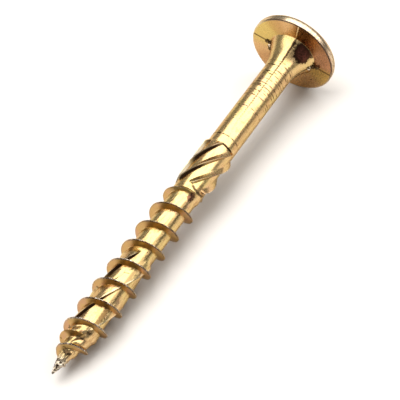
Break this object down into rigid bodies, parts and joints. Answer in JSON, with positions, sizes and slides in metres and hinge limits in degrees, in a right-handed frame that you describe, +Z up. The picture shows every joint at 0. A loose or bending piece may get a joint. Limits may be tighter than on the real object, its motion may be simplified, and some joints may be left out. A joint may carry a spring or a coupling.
{
  "type": "construction screw",
  "caption": "Washer-head construction screw with a flared neck, plain shank, fluted reamer, coarse right-hand thread and ribbed cutting point, yellow zinc plated",
  "frame": {"origin": "middle of the bottom of the bounding box: on the floor, halfway along the lying screw", "axes": "+Z up; the screw's axis lies in the XZ plane, head towards +X and point towards -X; it leans by about 4 degrees because it rests on the head's rim and on one thread crest"},
  "size_m": [0.0672, 0.0138, 0.0138],
  "materials": {
    "yellow_zinc": "glossy yellow zinc plating with brown and olive tints on rolled and headed steel"
  },
  "bodies": {
    "root": {"screw": "yellow_zinc"}
  },
  "joints": []
}
